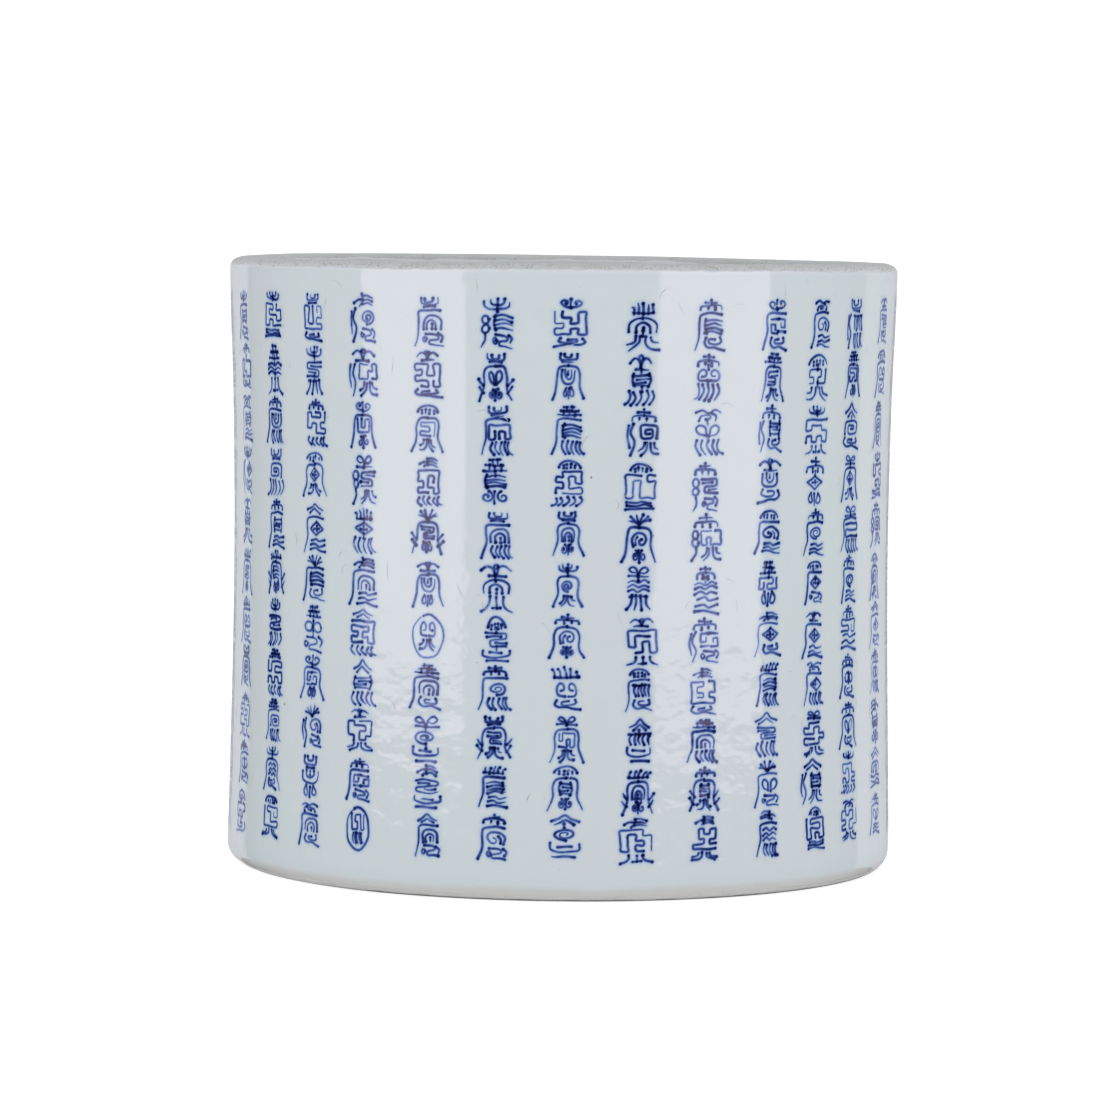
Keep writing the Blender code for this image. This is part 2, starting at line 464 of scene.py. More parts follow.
def glaze_colour(s):
    """Clear glaze over porcelain: drifting between blue and green white, greener where it pools, and
    lightened as painted light just under the lip, most on the inner side.
    """
    drift = s.patches(0.055, 0.35, 0.65)
    colour = s.mix(drift, (0.505, 0.572, 0.577), (0.515, 0.569, 0.583))
    mottle = s.patches(0.006, 0.3, 0.7, detail=3.0)
    colour = s.tint(colour, (0.502, 0.554, 0.567), mottle, 0.35)
    pooled = s.between(s.height, 0.0080, 0.0045)
    colour = s.tint(colour, (0.482, 0.548, 0.555), pooled, 0.75)
    wander = s.math("MULTIPLY_ADD", s.noise(0.012), 0.0016, s.height)
    thin = s.between(wander, 0.0056, 0.0034)
    colour = s.tint(colour, (0.455, 0.452, 0.428), thin, 0.8)
    # Painted light: the glaze is lightened in the band just under the lip, and much more on the inner side,
    # standing for light bounced inside the pot.
    edge = s.between(s.height, (HEIGHT - 3.2) * MM, (HEIGHT - 2.2) * MM)
    colour = s.tint(colour, (0.570, 0.612, 0.630), edge, 0.6)
    inner_side = s.between(s.radius(), (RIM_RADIUS - 8.0) * MM, (RIM_RADIUS - 6.0) * MM, 1.0, 0.0)
    return s.tint(colour, (0.690, 0.735, 0.730), edge, inner_side)


def with_specks(s, colour):
    """Iron specks and pinholes."""
    colour = s.tint(colour, (0.180, 0.140, 0.105), s.spots(0.0075, 0.00034, 0.22), 0.75)
    return s.tint(colour, (0.330, 0.300, 0.260), s.spots(0.0038, 0.00030, 0.30), 0.22)


def glossy(s, colour):
    """Finishes a glazed material: the colour, the gloss of glass and the orange peel."""
    s.set("Base Color", colour)
    s.set("Roughness", s.patches(0.004, 0.2, 0.8, 0.055, 0.095))
    s.set("IOR", 1.52)
    s.set("Normal", ripple_bump(s))
    return s.material


def make_glaze():
    s = Shader("clear_glaze_over_porcelain")
    return glossy(s, with_specks(s, glaze_colour(s)))


def make_cobalt():
    """Cobalt in the glaze: the film's ink density darkens the glaze as dye darkens water."""
    s = Shader("cobalt_under_glaze")
    attribute = s.tree.nodes.new("ShaderNodeAttribute")
    attribute.attribute_type = "GEOMETRY"
    attribute.attribute_name = "ink"
    grain = s.patches(0.0011, 0.25, 0.75, 0.80, 1.16, detail=3.0)
    ink = s.math("MULTIPLY", attribute.outputs["Fac"], grain)
    passed = s.tree.nodes.new("ShaderNodeCombineColor")
    s.give(passed.inputs[0], s.math("POWER", 0.072, ink))
    s.give(passed.inputs[1], s.math("POWER", 0.120, s.math("POWER", ink, 1.08)))
    s.give(passed.inputs[2], s.math("POWER", 0.400, s.math("POWER", ink, 1.5)))
    return glossy(s, s.mix(1.0, with_specks(s, glaze_colour(s)), passed.outputs[0], "MULTIPLY"))


def bare_clay(s, grain, colour, smooth, rough):
    """Finishes an unglazed material, smooth to rough over its grain."""
    s.set("Base Color", colour)
    s.set("Roughness", s.between(grain, 0.0, 1.0, smooth, rough))
    s.set("Normal", s.bump(s.noise(0.0007, 4.0), 0.00003))
    return s.material


def make_bare_lip():
    """Unglazed porcelain: dry, finely grained, with iron specks that crowd beside the glaze."""
    s = Shader("bare_lip")
    grain = s.patches(0.0009, 0.3, 0.7, detail=4.0)
    tone = s.mix(grain, (0.490, 0.514, 0.508), (0.550, 0.574, 0.568))
    cloud = s.patches(0.010, 0.45, 0.75, detail=3.0)
    tone = s.tint(tone, (0.430, 0.425, 0.385), cloud, 0.30)
    band = s.between(s.height, (HEIGHT - 0.3) * MM, (HEIGHT - 0.9) * MM, 0.15, 1.0)
    outer_side = s.between(s.radius(), (RIM_RADIUS - 5.4) * MM, (RIM_RADIUS - 3.8) * MM, 0.12, 1.0)
    crowd = s.math("MULTIPLY", s.patches(0.006, 0.32, 0.60, 0.35, 1.0), band)
    crowd = s.math("MULTIPLY", crowd, outer_side)
    tone = s.tint(tone, (0.210, 0.180, 0.125), s.spots(0.00046, 0.00018, crowd), 0.85)
    coarse = s.spots(0.0013, 0.00028, s.math("MULTIPLY", crowd, 0.45))
    return bare_clay(s, grain, s.tint(tone, (0.180, 0.150, 0.100), coarse, 0.75), 0.54, 0.70)


def make_foot_clay():
    """Bare clay of the foot, with painted shade: greyer low down and a dark line where it meets the table.
    """
    s = Shader("bare_foot")
    grain = s.patches(0.0009, 0.3, 0.7, detail=4.0)
    tone = s.mix(grain, (0.515, 0.516, 0.516), (0.572, 0.574, 0.580))
    cloud = s.patches(0.010, 0.45, 0.75, detail=3.0)
    tone = s.tint(tone, (0.420, 0.405, 0.370), cloud, 0.35)
    tone = s.tint(tone, (0.240, 0.195, 0.140), s.spots(0.0013, 0.00028, 0.10), 0.5)
    # Painted shade: the foot turns greyer in its lowest 2.4 mm, fully grey below about 1.1 mm.
    low_shade = s.between(s.height, 0.0024, 0.0011)
    tone = s.tint(tone, (0.360, 0.360, 0.360), low_shade, 0.48)
    # Painted shade: a wavering near-black line along the bottom of the foot's outer edge stands for the
    # shadow where the foot meets the table; it is weaker at the far left.
    wander = s.math("MULTIPLY_ADD", s.noise(0.008, 3.0), 0.0008, s.height)
    contact_shadow = s.between(wander, 0.00115, 0.00085)
    outer_edge = s.between(s.radius(), (FOOT_RADIUS - 5.0) * MM, (FOOT_RADIUS - 3.0) * MM, 0.12, 1.0)
    contact_shadow_strength = s.between(s.across, -0.072, -0.045, 0.15, 0.78)
    contact_shadow = s.math("MULTIPLY", contact_shadow, outer_edge)
    return bare_clay(s, grain, s.tint(tone, (0.070, 0.065, 0.060), contact_shadow, contact_shadow_strength), 0.42, 0.58)


def make_floor_material():
    s = Shader("pale_floor")
    s.set("Base Color", s.mix(s.patches(0.4, 0.3, 0.7), (0.40, 0.40, 0.40), (0.42, 0.42, 0.42)))
    s.set("Roughness", 0.9)
    s.set("Emission Color", (1.0, 1.0, 1.0))
    s.set("Emission Strength", 0.78)
    return s.material


# ==== The turned pieces ====


def glaze_edge_low(angle):
    """Height at which the glaze ends above the foot."""
    return 0.07 * round_about(angle, (5, 9, 17, 29, 41, 67), 21)


def glaze_edge_high(angle):
    """Rise and fall of the glaze's upper edge on the outside of the lip."""
    slow = 0.10 - 0.24 * np.cos(2 * angle) + 0.08 * round_about(angle, (4, 7, 13), 22)
    return slow + 0.13 * round_about(angle, (61, 83, 113, 149, 197), 24)


def outer_glaze_surface(material):
    top = HEIGHT - LIP_BARE_OUTSIDE
    low = GLAZE_LOW
    levels = np.concatenate(
        [
            np.linspace(low + GLAZE_DEPTH, FOOT_ROUND_HEIGHT, 12)[:-1],
            np.linspace(FOOT_ROUND_HEIGHT, top - 4, 84)[:-1],
            np.linspace(top - 4, top - GLAZE_DEPTH, 14),
        ]
    )
    outline = rounded_end(outside, low, -1, 1, QUARTER[:0:-1])
    outline += profile(outside, levels)
    outline += rounded_end(outside, top, 1, 1, QUARTER[1:])
    outline += profile(outside, np.linspace(top - 0.6, low + 0.6, 16), -GLAZE_DEPTH)

    def wander(z, angle):
        near_top = float(ease(top - 3.0, top - 0.4, z))
        near_low = 1 - float(ease(low + 0.3, low + 2.5, z))
        return glaze_edge_high(angle) * near_top + glaze_edge_low(angle) * near_low

    points, faces = turned(outline, edge_shift=wander)
    finish_mesh("outer_glaze_coat", points, faces, material, ["outer_glaze"])


def inner_glaze_surface(material):
    top = HEIGHT - LIP_BARE_INSIDE
    corner_top = FLOOR + CORNER_ROUND
    levels = np.concatenate(
        [np.linspace(top - GLAZE_DEPTH, top - 4, 24)[:-1], np.linspace(top - 4, corner_top, 60)]
    )
    corner = corner_arc(CORNER_ROUND)
    outline = [(0, FLOOR - GLAZE_DEPTH)]
    outline += corner_arc(CORNER_ROUND + GLAZE_DEPTH)[:-1]
    outline += profile(inside, np.linspace(corner_top, top - GLAZE_DEPTH, 16), GLAZE_DEPTH)
    outline += rounded_end(inside, top, 1, -1, QUARTER[:0:-1])
    outline += profile(inside, levels)
    outline += corner[:-1][::-1]
    outline += [(float(r), floor_height(r)) for r in np.linspace(corner[0][0], 0, 30)[1:-1]]
    outline += [(0, floor_height(0.0))]

    def wander(z, angle):
        return 0.22 * round_about(angle, (6, 17, 33, 57, 83), 23) * float(ease(top - 3.0, top - 0.4, z))

    points, faces = turned(outline, edge_shift=wander)
    finish_mesh("inner_glaze_coat", points, faces, material, ["inner_glaze"])


def floor_height(r):
    """The floor inside, with the faint spiral rings that throwing leaves and a low middle boss."""
    fade = 1 - float(ease(55, 70, r))
    return FLOOR + 0.05 * math.sin(TAU * r / 9.0) * fade + 0.25 * float(1 - ease(0, 16, r))


def clay_wall(material):
    """The cylinder: bare at the lip, under the glaze elsewhere."""
    outer_edge = HEIGHT - LIP_BARE_OUTSIDE
    inner_edge = HEIGHT - LIP_BARE_INSIDE
    bottom = FOOT_ROUND_HEIGHT + 0.2
    outer_round = LIP_OUTER_ROUND[1]
    inner_round = LIP_INNER_ROUND[1]
    outer_shares = np.sin(np.linspace(math.asin(0.45), math.pi / 2, 14))[1:]
    inner_shares = np.sin(np.linspace(math.pi / 2, math.asin(0.40), 14))[1:]
    outline = profile(outside, np.linspace(bottom, outer_edge - 1.6, 40), -BURIED)
    outline += profile(outside, np.linspace(outer_edge - 1.2, HEIGHT - outer_round * 0.55, 8), -GLAZE_PROUD)
    outline += bare_crest(outside, outer_round, -GLAZE_PROUD, outer_shares)
    outline += bare_crest(inside, inner_round, GLAZE_PROUD, inner_shares)
    outline += profile(inside, np.linspace(HEIGHT - inner_round * 0.65, inner_edge - 1.2, 5), GLAZE_PROUD)
    outline += profile(inside, np.linspace(inner_edge - 1.6, bottom, 40), BURIED)
    points, faces = turned(outline)
    finish_mesh("clay_cylinder", points, faces, material, ["wall"])


def foot(material):
    """The turned foot ring, bare from the table up to the glaze."""
    top = FOOT_ROUND_HEIGHT
    covered = 3.2  # from here up the glaze covers it
    inner_round = (1.1, 1.2)  # width and height
    outline = [(FOOT_RADIUS - 0.5, 0.0)]
    outline += profile(outside, top * (1 - np.cos(np.linspace(0.18, 1.05, 14))), -GLAZE_PROUD)
    outline += profile(outside, [covered], -BURIED) + profile(outside, [top], -0.7)
    outline += [(FOOT_INNER_RADIUS, top), (FOOT_INNER_RADIUS, inner_round[1])]
    outline += [
        (FOOT_INNER_RADIUS + inner_round[0] * (1 - math.cos(a)), inner_round[1] * (1 - math.sin(a)))
        for a in np.linspace(0.2, math.pi / 2, 7)
    ]
    points, faces = turned(outline, around=AROUND_FOOT)
    finish_mesh("turned_foot", points, faces, material, ["foot_ring"], 40)


def base_glaze_surface(material):
    """The glazed ceiling of the recess under the base."""
    rim = FOOT_INNER_RADIUS
    cove = (2.5, 2.0)  # width and height of the glaze that has run into the corner
    rings = np.linspace(0, rim - cove[0], 26)
    outline = [(0, BASE_CEILING)]
    outline += [(float(r), BASE_CEILING + 0.04 * math.sin(TAU * r / 11.0)) for r in rings[1:]]
    outline += [
        (rim - cove[0] * (1 - math.sin(a)), BASE_CEILING - cove[1] * (1 - math.cos(a)))
        for a in np.linspace(0.25, math.pi / 2, 8)
    ]
    outline += [(rim + 0.05, BASE_CEILING + 0.4), (0, BASE_CEILING + 0.45)]
    points, faces = turned(outline, around=AROUND_FOOT)
    finish_mesh("base_glaze_coat", points, faces, material, ["base_glaze"], 40)


# ==== The painted signs ====
#
# A sign is drawn in a box from x = -1 to 1 and y = 0 (top) to 1. Each part below returns its
# strokes, lists of points, in a box of its own with the same limits.


def curve(*points, steps=8):
    """Smooth stroke through the points."""
    p = np.array(points, float)
    if len(p) == 2:
        return p
    ends = np.vstack([2 * p[0] - p[1], p, 2 * p[-1] - p[-2]])
    t = (np.arange(steps) / steps)[:, None]
    made = []
    for a, b, c, d in zip(ends, ends[1:], ends[2:], ends[3:]):
        cubic = (2 * a - 5 * b + 4 * c - d) * t**2 + (3 * b - a - 3 * c + d) * t**3
        made.append(0.5 * (2 * b + (c - a) * t + cubic))
    made.append(p[-1:])
    return np.concatenate(made)


def arch(*points):
    """Smooth stroke through the points, which run from its middle to the right, and their mirror images."""
    left = [(-x, y) for x, y in points[:0:-1]]
    return curve(*left, *points)


def line(*points):
    return np.array(points, float)


def bars(*rows):
    """Level strokes, each given as (left, right, height)."""
    return [line((x0, y), (x1, y)) for x0, x1, y in rows]


def stems(*columns):
    """Upright strokes, each given as (x, top, bottom)."""
    return [line((x, y0), (x, y1)) for x, y0, y1 in columns]


def softened(path):
    """The path with its corners cut a little, as a quick brush cuts them."""
    made = [path[:1]]
    for a, b, c in zip(path, path[1:], path[2:]):
        middle = b + (a - b) * 0.06 + (c - b) * 0.06
        made.append(np.array([b + (a - b) * 0.22, middle, b + (c - b) * 0.22]))
    made.append(path[-1:])
    return np.concatenate(made)


def arc(x, y, rx, ry, start=0, end=360, steps=20):
    """Part of an ellipse; angles in degrees run from the right by way of the bottom."""
    t = np.radians(np.linspace(start, end, steps))
    return np.stack([x + rx * np.cos(t), y + ry * np.sin(t)], axis=-1)


def spiral(x, y, rx, ry, turns, start=0, hand=1):
    """A stroke that winds inwards from an ellipse's edge, starting at the angle start in degrees."""
    t = np.linspace(0, 1, int(20 * turns) + 4)
    angle = np.radians(start) + hand * TAU * turns * t
    reach = 1 - 0.84 * t
    return np.stack([x + rx * reach * np.cos(angle), y + ry * reach * np.sin(angle)], axis=-1)


def both_sides(*strokes):
    """The strokes and their mirror images."""
    return list(strokes) + [s * (-1, 1) for s in strokes]


def within(strokes, x0, x1, y0, y1, hand=1):
    """The strokes, moved from their own box into the box x0..x1, y0..y1."""
    centre = (x0 + x1) / 2
    half = (x1 - x0) / 2
    corner, scale = (centre, y0), (hand * half, y1 - y0)
    return [s * scale + corner for s in strokes]


def meander(draw, across, down):
    """A path over a lattice that never meets itself, with square or rounded turns."""
    best = []
    for _ in range(16):
        path = [(draw.randrange(across), draw.choice((0, down - 1)))]
        while True:
            x, y = path[-1]
            steps = ((x + 1, y), (x - 1, y), (x, y + 1), (x, y - 1))
            free = [p for p in steps if 0 <= p[0] < across and 0 <= p[1] < down and p not in path]
            if not free:
                break
            path.append(draw.choice(free))
        best = max(best, path, key=len)
    path = [(2 * x / (across - 1) - 1, y / (down - 1)) for x, y in best]
    return softened(line(*path)) if draw.random() < 0.4 else curve(*path, steps=4)


# -- crests --


def crest_comb(draw):
    lean = draw.uniform(-0.1, 0.3)
    teeth = []
    for x in (-0.8, -0.4, 0.0, 0.4, 0.8):
        top = 0.1 + 0.5 * abs(x) * draw.uniform(0.3, 1.0)
        teeth.append(curve((x, 0.9), (x + lean * 0.2, 0.5), (x * 1.1 + lean, top)))
    return teeth + bars((-0.86, 0.86, 0.9))


def crest_spray(draw):
    leaves = []
    for reach, lift in ((0.85, 0.6), (0.66, 0.24), (0.3, 0.02)):
        leaves += both_sides(curve((0.04, 0.98), (reach * 0.45, 0.72), (reach, lift)))
    return leaves


def crest_chevrons(draw):
    outer = arch((0, 0.02), (0.4, 0.42), (0.92, 0.72))
    return [outer, line((-0.62, 1.0), (0, 0.5), (0.62, 1.0))]


def crest_sprout(draw):
    curl = curve((0.02, 0.98), (0.5, 0.86), (0.78, 0.46), (0.58, 0.14), (0.3, 0.26), (0.4, 0.5))
    return both_sides(curl) + stems((0, 0.0, 0.98))


def crest_bricks(draw):
    rows = bars((-0.42, 0.42, 0.08), (-0.7, 0.7, 0.5), (-0.92, 0.92, 0.94))
    upper = stems(*((x, 0.08, 0.5) for x in (-0.2, 0.24)))
    return rows + upper + stems(*((x, 0.5, 0.94) for x in (-0.46, 0.02, 0.48)))


def crest_candle(draw):
    bowl = arch((0, 0.8), (0.7, 0.66), (0.74, 0.08))
    inner = arch((0, 0.5), (0.3, 0.42), (0.34, 0.14))
    return [bowl, inner] + bars((-0.5, 0.5, 1.0))


def crest_rain(draw):
    dome = arc(0, 0.92, 0.9, 0.84, 188, 352)
    return [dome] + stems(*((x, 0.5 + 0.35 * abs(x), 0.98) for x in (-0.5, -0.17, 0.17, 0.5)))


def crest_bird(draw):
    wing = curve((0.0, 0.85), (0.22, 0.3), (0.58, 0.18), (0.95, 0.52))
    return both_sides(wing) + [arc(0, 0.18, 0.17, 0.17)] + bars((-0.5, 0.62, 0.98))


def crest_sail(draw):
    mast = curve((-0.1, 0.0), (-0.04, 0.5), (-0.4, 0.98))
    ribs = [curve((-0.06, y), (0.4, y - 0.08), (0.86, y + 0.14)) for y in (0.14, 0.48, 0.82)]
    return [mast] + ribs + [curve((-0.16, 0.4), (-0.5, 0.42), (-0.9, 0.7))]


def crest_knot(draw):
    return [
        curve((-0.9, 0.3), (-0.4, 0.1), (0.1, 0.34), (0.5, 0.1), (0.9, 0.26)),
        curve((-0.7, 0.98), (-0.5, 0.6), (0.1, 0.56), (0.16, 0.84), (-0.2, 0.9)),
        curve((0.34, 0.44), (0.66, 0.62), (0.62, 0.98)),
    ]


def crest_candelabrum(draw):
    low = curve((0.0, 0.8), (0.56, 0.78), (0.88, 0.58), (0.92, 0.24))
    high = curve((0.0, 0.5), (0.3, 0.48), (0.46, 0.32), (0.48, 0.04))
    return both_sides(low, high) + stems((0, 0.0, 1.0))


def crest_pavilion(draw):
    roof = arch((0, 0.52), (0.8, 0.62), (0.92, 0.98))
    posts = stems((0, 0.0, 0.52), (-0.3, 0.76, 0.98), (0.3, 0.76, 0.98))
    return [roof] + bars((-0.46, 0.46, 0.22)) + posts


def crest_loops(draw):
    loop = curve((0.0, 0.98), (0.14, 0.36), (0.48, 0.06), (0.74, 0.32), (0.48, 0.6), (0.14, 0.56))
    return both_sides(loop) + bars((-0.78, 0.78, 0.96))


# -- hearts --


def heart_fret(draw):
    outer = ((-0.85, 0.98), (-0.85, 0.03), (0.85, 0.03), (0.85, 0.96), (-0.42, 0.96))
    inner = ((-0.42, 0.34), (0.42, 0.34), (0.42, 0.64), (-0.05, 0.64))
    return [softened(line(*outer, *inner))]


def heart_arches(draw):
    outer = arch((0, -0.02), (0.5, 0.04), (0.84, 0.35), (0.86, 1.0))
    inner = arch((0, 0.34), (0.42, 0.56), (0.44, 1.0))
    return [outer, inner] + stems((0, 0.66, 1.0))


def heart_cradle(draw):
    return [s * (1, -1) + (0, 1) for s in heart_arches(draw)]


def heart_lozenge(draw):
    outer = line((0, 0), (0.86, 0.5), (0, 1.0), (-0.86, 0.5), (0, 0))
    return [outer] + bars((-0.34, 0.34, 0.5)) + stems((0, 0.3, 0.7))


def heart_rings(draw):
    return [arc(-0.46, 0.5, 0.36, 0.42), arc(0.46, 0.5, 0.36, 0.42)] + stems((0, 0.05, 0.95))


def heart_scroll(draw):
    upper = ((0.8, 0.1), (0.1, 0.0), (-0.7, 0.12), (-0.72, 0.42), (0, 0.5))
    lower = ((0.72, 0.58), (0.7, 0.9), (-0.1, 1.0), (-0.8, 0.9))
    dash = curve((0.62, 0.3), (0.1, 0.24), (-0.2, 0.28))
    return [curve(*upper, *lower), dash, curve((-0.62, 0.7), (-0.1, 0.76), (0.2, 0.72))]


def heart_waves(draw):
    return [
        curve((-0.88, y + 0.06), (-0.44, y - 0.12), (0, y + 0.1), (0.44, y - 0.12), (0.88, y + 0.06))
        for y in (0.12, 0.5, 0.88)
    ]


def heart_hooks(draw):
    path = ((0.16, 0.98), (0.8, 0.92), (0.88, 0.4), (0.56, 0.06), (0.22, 0.22), (0.24, 0.56), (0.54, 0.62))
    return both_sides(curve(*path))


def heart_key(draw):
    half = line((-0.12, 0.02), (-0.88, 0.02), (-0.88, 0.62), (-0.34, 0.62), (-0.34, 0.32))
    return [half, half * (-1, -1) + (0, 1.0)] + bars((0.02, 0.88, 0.02), (-0.88, -0.02, 0.98))


def heart_leaves(draw):
    leaf = curve((0.1, 0.98), (0.2, 0.3), (0.62, 0.02), (0.86, 0.3), (0.62, 0.78), (0.1, 0.98))
    return both_sides(leaf)


def heart_coil(draw):
    return [spiral(0, 0.5, 0.88, 0.5, 1.9, 90, draw.choice((-1, 1)))]


def heart_ribs(draw):
    stem = curve((-0.7, 0.0), (-0.84, 0.5), (-0.62, 1.0))
    return [stem] + [curve((-0.76, y), (0.1, y - 0.1), (0.88, y + 0.05)) for y in (0.12, 0.4, 0.68, 0.96)]


def heart_meander(draw):
    return [meander(draw, 5, 3)]


def heart_tall_meander(draw):
    return [meander(draw, 4, 4)]


def heart_comb(draw):
    places = (-0.66, -0.3, 0.06, 0.42, 0.78)
    teeth = [curve((x, 0.1), (x - 0.1, 0.55), (x + 0.04, 1.0)) for x in places]
    return bars((-0.86, 0.86, 0.05)) + teeth


def heart_nested_hooks(draw):
    outer = ((-0.9, 0.03), (0.86, 0.03), (0.86, 0.5), (-0.55, 0.5), (-0.55, 0.98), (0.88, 0.98))
    return [softened(line(*outer))] + bars((-0.8, 0.42, 0.27), (-0.1, 0.9, 0.74))


def heart_ladder(draw):
    left = curve((-0.62, 0.0), (-0.74, 0.5), (-0.58, 1.0))
    right = curve((0.62, 0.0), (0.74, 0.5), (0.58, 1.0))
    upper = bars((-0.66, 0.66, 0.14), (-0.34, 0.7, 0.4))
    return [left, right] + upper + bars((-0.7, 0.34, 0.64), (-0.62, 0.62, 0.9))


def heart_shell(draw):
    back = ((-0.8, 0.96), (-0.9, 0.4), (-0.3, 0.02), (0.5, 0.06), (0.86, 0.42))
    mouth = ((0.6, 0.82), (0.1, 0.84), (-0.06, 0.56), (0.24, 0.42))
    return [curve(*back, *mouth), curve((-0.46, 0.92), (-0.5, 0.56), (-0.28, 0.34))]


# -- feet --


def foot_splay(draw):
    leg = curve((0.44, 0.0), (0.46, 0.45), (0.62, 0.78), (0.96, 1.0))
    return both_sides(leg) + stems((0, 0.02, 0.8)) + bars((-0.26, 0.26, 0.8))


def foot_scrolls(draw):
    return both_sides(spiral(0.48, 0.46, 0.4, 0.46, 1.3, 250, -1)) + stems((0, 0.0, 1.0))


def foot_tail(draw):
    sweep = curve((-0.7, 0.0), (-0.84, 0.42), (-0.52, 0.78), (0.1, 0.74), (0.45, 0.86), (0.95, 1.02))
    coil = curve((0.62, 0.0), (0.7, 0.34), (0.3, 0.5), (-0.28, 0.46), (-0.32, 0.16), (0.14, 0.12))
    return [sweep, coil]


def foot_fringe(draw):
    inner = curve((0.16, 0.02), (0.18, 0.55), (0.26, 0.98))
    outer = curve((0.5, 0.02), (0.58, 0.55), (0.86, 0.98))
    return both_sides(inner, outer) + bars((-0.62, 0.62, 0.02))


def foot_comb(draw):
    places = (-0.74, -0.34, 0.06, 0.46)
    teeth = [curve((x, 0.0), (x - 0.12, 0.42), (x + 0.02, 0.78), (x + 0.2, 1.0)) for x in places]
    return teeth + [curve((0.74, 0.0), (0.66, 0.4), (0.8, 0.8), (1.04, 0.98))]


def foot_drops(draw):
    drop = curve((0.36, 0.0), (0.62, 0.45), (0.5, 0.82), (0.22, 0.7), (0.36, 0.0))
    return both_sides(drop) + stems((0, 0.1, 1.0))


def foot_cup(draw):
    bowl = arch((0, 0.68), (0.8, 0.5), (0.86, 0.0))
    return [bowl] + bars((-0.4, 0.4, 0.22), (-0.62, 0.7, 1.0))


def foot_vine(draw):
    upper = ((-0.6, 0.0), (0.3, 0.12), (0.42, 0.42), (-0.25, 0.55))
    vine = curve(*upper, (-0.3, 0.86), (0.3, 0.92), (0.85, 1.02))
    return [vine, curve((0.55, 0.06), (0.88, 0.3), (0.72, 0.66)), arc(-0.7, 0.48, 0.15, 0.2)]


def foot_ripple(draw):
    rows = []
    for inset, y in ((0.2, 0.1), (0.1, 0.5)):
        left = ((inset - 0.86, y), (inset - 0.3, y - 0.12))
        rows.append(curve(*left, (0.2, y + 0.08), (0.9, y - 0.04)))
    return rows + [curve((-0.86, 0.84), (-0.2, 0.76), (0.4, 0.92), (0.98, 1.02))]


def foot_bow(draw):
    arm = curve((-0.4, 0.0), (-0.5, 0.4), (-0.94, 0.66))
    tail = curve((-0.18, 0.0), (-0.26, 0.52), (-0.8, 1.0))
    long_tail = curve((0.16, 0.0), (0.18, 0.5), (0.46, 0.84), (0.98, 0.92))
    return [arm, tail, long_tail, curve((0.52, 0.04), (0.6, 0.34), (0.94, 0.46))]


# A part that is listed twice is drawn twice as often.
CRESTS = (
    crest_comb, crest_spray, crest_chevrons, crest_sprout, crest_bricks, crest_candle, crest_rain,
    crest_bird, crest_sail, crest_knot, crest_candelabrum, crest_pavilion, crest_pavilion,
    crest_loops,
)
HEARTS = (
    heart_fret, heart_arches, heart_cradle, heart_lozenge, heart_rings, heart_scroll, heart_waves,
    heart_hooks, heart_key, heart_leaves, heart_coil, heart_ribs, heart_comb, heart_nested_hooks,
    heart_nested_hooks, heart_ladder, heart_shell, heart_meander, heart_meander, heart_tall_meander,
)
FEET = (
    foot_splay, foot_scrolls, foot_tail, foot_tail, foot_fringe, foot_comb, foot_comb, foot_drops,
    foot_cup, foot_vine, foot_ripple, foot_bow,
)


def any_part(draw, parts, x0, x1, y0, y1):
    """One of the parts, in the box x0..x1, y0..y1, and now and then mirrored."""
    hand = draw.choice((-1, 1, 1))
    return within(draw.choice(parts)(draw), x0, x1, y0, y1, hand)


def stacked_sign(draw):
    """A crest over a heart over a foot."""
    first = draw.uniform(0.22, 0.3)
    second = first + draw.uniform(0.32, 0.42)
    top = draw.uniform(0.6, 0.95)
    middle = draw.uniform(0.66, 0.95)
    joins = stems((0, first - 0.02, first + 0.09), (0, second - 0.02, second + 0.09))
    return (
        any_part(draw, CRESTS, -top, top, 0.0, first)
        + any_part(draw, HEARTS, -middle, middle, first + 0.085, second)
        + any_part(draw, FEET, -0.95, 0.95, second + 0.085, 1.0)
        + joins[: draw.randrange(3)]
    )


def sheltered_sign(draw):
    """A crest over a tall arch with flaring legs, which shelters a heart and a small foot."""
    left = curve((0.0, 0.27), (-0.52, 0.3), (-0.7, 0.44), (-0.72, 0.7), (-0.98, 1.0))
    right = curve((0.0, 0.27), (0.52, 0.3), (0.7, 0.44), (0.7, 0.72), (0.98, 0.98))
    inner = any_part(draw, HEARTS, -0.46, 0.46, 0.375, 0.66)
    inner += any_part(draw, (foot_scrolls, foot_drops, foot_tail, foot_bow), -0.5, 0.5, 0.745, 0.98)
    if draw.random() < 0.22:
        for y in (0.56, 0.72):
            inner += both_sides(curve((0.74, y + 0.11), (0.88, y + 0.06), (1.02, y - 0.02)))
    return [left, right] + inner + any_part(draw, CRESTS, -0.72, 0.72, 0.0, 0.19)


def ringed_sign(draw):
    """A tall ring round a heart and a small foot."""
    inner = any_part(draw, HEARTS, -0.52, 0.52, 0.17, 0.52)
    return [arc(0.0, 0.5, 0.95, 0.5, 250, 600, 40)] + inner + any_part(draw, FEET, -0.48, 0.48, 0.6, 0.84)


def wrapped_sign(draw):
    """A crest over a bar whose one end drops as a long leg, beside a heart and a tail."""
    leg = curve((0.74, 0.28), (0.1, 0.26), (-0.6, 0.29), (-0.7, 0.42), (-0.7, 0.7), (-0.96, 1.0))
    inner = any_part(draw, HEARTS, -0.46, 0.84, 0.38, 0.66)
    tail = draw.choice((foot_tail, foot_vine, foot_ripple, foot_comb))(draw)
    inner += within(tail, -0.5, 0.95, 0.75, 1.0)
    return [leg] + inner + any_part(draw, CRESTS, -0.7, 0.8, 0.0, 0.19)


